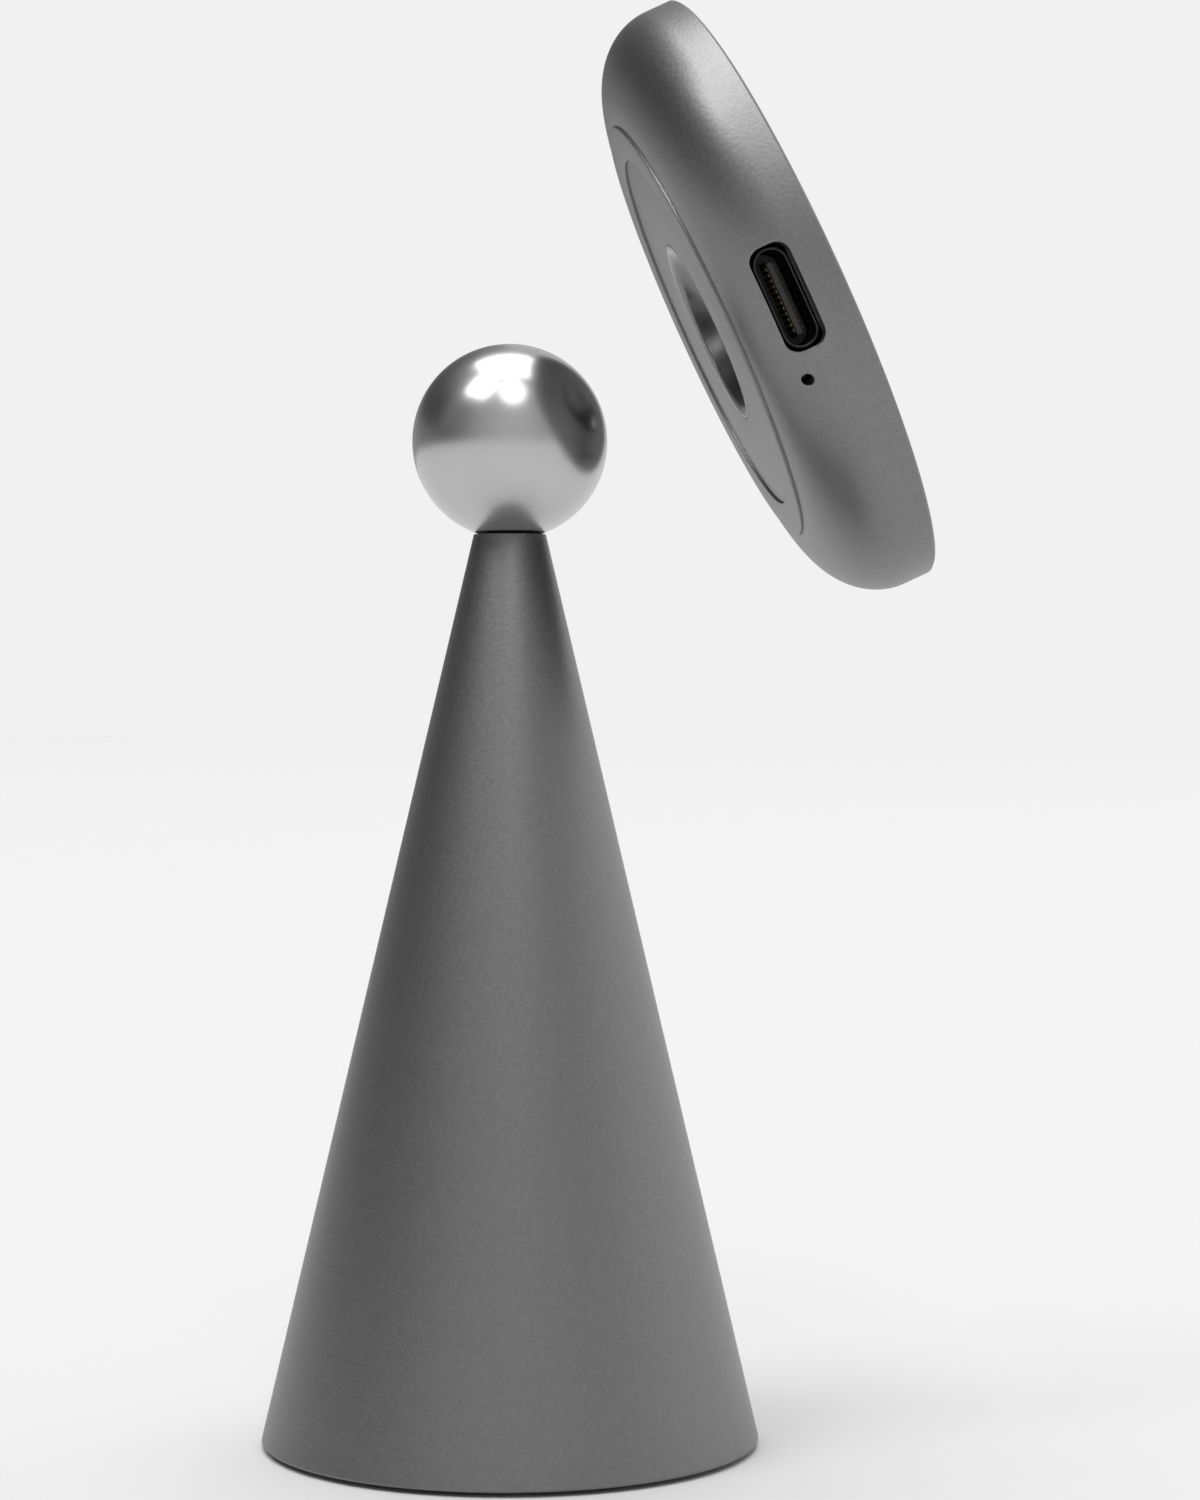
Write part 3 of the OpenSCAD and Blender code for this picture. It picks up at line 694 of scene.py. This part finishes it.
# %% Finish of each piece
finish_of = {
    "cone_shell": blasted_aluminium, "housing": blasted_aluminium, "back_ring": blasted_aluminium,
    "steel_ball": polished_steel, "seat_dish": machined_aluminium,
    "ball_shank": turned_steel, "lock_washer": zinc_plated_steel, "lock_nut": zinc_plated_steel,
    "base_plate": zinc_plated_steel, "base_screws": zinc_plated_steel, "board_screws": zinc_plated_steel,
    "ballast": cast_iron, "foot_pad": foot_silicone, "front_pad": pad_silicone,
    "seat_magnet": nickel_plate, "alignment_magnets": nickel_plate,
    "seat_yoke": soft_iron, "magnet_yoke": soft_iron, "ferrite_sheet": ferrite,
    "front_cover": polycarbonate, "coil_tray": polycarbonate,
    "charging_coil": enamelled_copper, "coil_leads": enamelled_copper,
    "circuit_board": circuit_laminate, "driver_chip": black_resin, "tuning_capacitors": capacitor_ceramic,
    "usb_shell": black_nickel, "usb_tongue": black_resin, "usb_contacts": gold_plate,
    "status_led": lamp_resin, "light_pipe": smoked_acrylic,
}
for node, material in finish_of.items():
    for piece in stands_for.get(node, [frame["nodes"][node]]):
        piece.data.materials.clear()
        piece.data.materials.append(material)
print(len(finish_of), "nodes have a finish:", sorted({material.name for material in finish_of.values()}))

# %% [markdown]
# ## Floor
#
# Metal has no colour of its own to show. It shows the room, so the room is what has to be designed. The
# floor is a roll of pale grey paper, wide enough to run out of sight. It also throws light up: the ball's
# lower half is nothing but floor.

# %% Floor
FLOOR_WIDTH = 6
bpy.ops.mesh.primitive_plane_add(size=FLOOR_WIDTH)
floor = bpy.context.object
floor.name = "studio_floor"
floor.data.materials.append(finish("pale_grey_paper", ("#cccccc", "#cdcdcd"), 0.9, 50))
print("the floor is", FLOOR_WIDTH, "m wide")

# %% [markdown]
# ## Room
#
# Panels on stands would do for a room, but a painted sky is easier to tune and costs no light paths. The
# walls are two bands of brightness, one at eye level and one higher up, each a smooth ramp round the turn.
# They are dark on the left, which draws the ball's dark crescent and the cone's shaded side, and bright on
# the right. Above them comes a plain ceiling. The camera itself sees a plain pale backdrop behind the
# object, as on a product page.

# %% Walls of the room
scene = bpy.context.scene
scene.view_settings.view_transform = "Standard"
world = bpy.data.worlds.new("studio")
scene.world = world
world.use_nodes = True
sky = world.node_tree
sky.nodes.clear()
# The brightness of the walls by degrees round from the front, left being negative
EYE_LEVEL = {-180: 0.42, -150: 0.34, -120: 0.24, -88: 0.13, -66: 0.17, -50: 0.36, -25: 0.58, 0: 0.68,
             22: 0.66, 40: 0.50, 60: 0.66, 90: 0.92, 120: 1.05, 150: 1.00, 180: 0.50}
UPPER_WALL = {**EYE_LEVEL, -180: 0.30, -165: 0.10, -150: 0.10, -120: 0.09, -100: 0.07, -88: 0.26, -66: 0.22}
way = add(sky, "SeparateXYZ", {0: add(sky, "TexCoord").outputs["Generated"]})
away = add(sky, "Math", {0: way.outputs["Y"], 1: -1.0}, operation="MULTIPLY")
turn = add(sky, "Math", {0: way.outputs["X"], 1: away.outputs[0]}, operation="ARCTAN2")
share = add(sky, "MapRange", {"Value": turn.outputs[0], "From Min": -math.pi, "From Max": math.pi})
bands = []
for levels in (EYE_LEVEL, UPPER_WALL):
    band = add(sky, "ValToRGB", {0: share.outputs[0]})
    stops = band.color_ramp.elements
    band.color_ramp.interpolation = "B_SPLINE"
    stops.remove(stops[0])
    stops[0].position, stops[0].color = 1, (*[levels[180]] * 3, 1)
    for degrees, level in sorted(levels.items())[:-1]:
        stops.new((degrees + 180) / 360).color = (level, level, level, 1)
    bands.append(band.outputs[0])
print("the room has", [len(band.node.color_ramp.elements) for band in bands], "stops round its walls")

# %% Ceiling and backdrop
CEILING = 0.35
BACKDROP = 0.88
# The sine of the climb, 0 at eye level and 1 overhead, says how far up the wall a direction is
UPPER_WALL_FROM, CEILING_FROM = (0.12, 0.30), (0.50, 0.95)
climbs = []
for start, end in (UPPER_WALL_FROM, CEILING_FROM):
    steps = {"Value": way.outputs["Z"], "From Min": start, "From Max": end}
    climbs.append(add(sky, "MapRange", steps, interpolation_type="SMOOTHSTEP").outputs["Result"])
walls = add(sky, "Mix", {0: climbs[0], 6: bands[0], 7: bands[1]}, data_type="RGBA")
room = add(sky, "Mix", {0: climbs[1], 6: walls.outputs[2], 7: (*[CEILING] * 3, 1)}, data_type="RGBA")
camera_ray = add(sky, "LightPath").outputs["Is Camera Ray"]
seen = add(sky, "Mix", {0: camera_ray, 6: room.outputs[2], 7: (*[BACKDROP] * 3, 1)}, data_type="RGBA")
air = add(sky, "Background", {"Color": seen.outputs[2], "Strength": 1.0})
add(sky, "OutputWorld", {"Surface": air.outputs[0]})
print("the sky is made of", len(sky.nodes), "nodes")

# %% [markdown]
# ## Lights
#
# Four soft lamps give the highlights: one overhead, one high in front, one high on the left for the disc's
# shoulder, and a narrow one behind on the right that draws a line along the rims. A softbox is placed by
# the direction that it comes from and the angle that it fills, because that is what a polished ball shows
# of it. They stand far away, so that the floor is lit evenly.

# %% Lights
LAMP_DISTANCE = 16


def softbox(name, turn, climb, wide, tall, glow, shape="RECTANGLE"):
    """A soft light that faces the ball from a direction: turn degrees round to the right of the front,
    climb degrees up. wide and tall are the angles that it fills, seen from the ball. A face that glows as
    brightly as glow gives glow times pi times its area in watts."""
    width, height = (2 * LAMP_DISTANCE * math.tan(math.radians(angle) / 2) for angle in (wide, tall))
    lamp = bpy.data.lights.new(name, "AREA")
    lamp.shape, lamp.size, lamp.size_y = shape, width, height
    lamp.energy = glow * math.pi * width * height * (1 if shape == "RECTANGLE" else math.pi / 4)
    turn, climb = math.radians(turn), math.radians(climb)
    towards = Vector((math.sin(turn) * math.cos(climb), -math.cos(turn) * math.cos(climb), math.sin(climb)))
    box = bpy.data.objects.new(name, lamp)
    box.location = ball_centre + LAMP_DISTANCE * towards
    box.rotation_euler = towards.to_track_quat("Z", "Y").to_euler()
    box.visible_camera = False
    scene.collection.objects.link(box)
    print(name, "is", round(width, 1), "by", round(height, 1), "m and gives", round(lamp.energy), "W")


softbox("overhead_softbox", 180, 80, 42, 38, 4.5)
softbox("front_spot", 4, 58, 26, 32, 3.1, "ELLIPSE")
softbox("left_softbox", -60, 58, 24, 20, 6.2)
softbox("rim_strip", 119, 35, 7, 24, 2.6)

# %% [markdown]
# ## Camera
#
# The camera stands in front, a third of a metre away, a little to the left and lower than the ball, and it
# looks slightly down. From there its 88 mm lens just fills the frame with the stand.

# %% Camera
CAMERA_TURN, CAMERA_DISTANCE, CAMERA_HEIGHT = math.radians(-1.6514), 0.32943, 0.07079
CAMERA_PAN, CAMERA_TILT = math.radians(1.406), math.radians(-1.448)
FOCAL_LENGTH, SENSOR = 88.02, 36
lens = bpy.data.cameras.new("camera")
lens.lens, lens.sensor_width = FOCAL_LENGTH, SENSOR
camera = bpy.data.objects.new("camera", lens)
camera.location = (
    CAMERA_DISTANCE * math.sin(CAMERA_TURN),
    -CAMERA_DISTANCE * math.cos(CAMERA_TURN),
    CAMERA_HEIGHT,
)
camera.rotation_euler = (math.pi / 2 + CAMERA_TILT, 0, CAMERA_TURN - CAMERA_PAN)
scene.collection.objects.link(camera)
scene.camera = camera
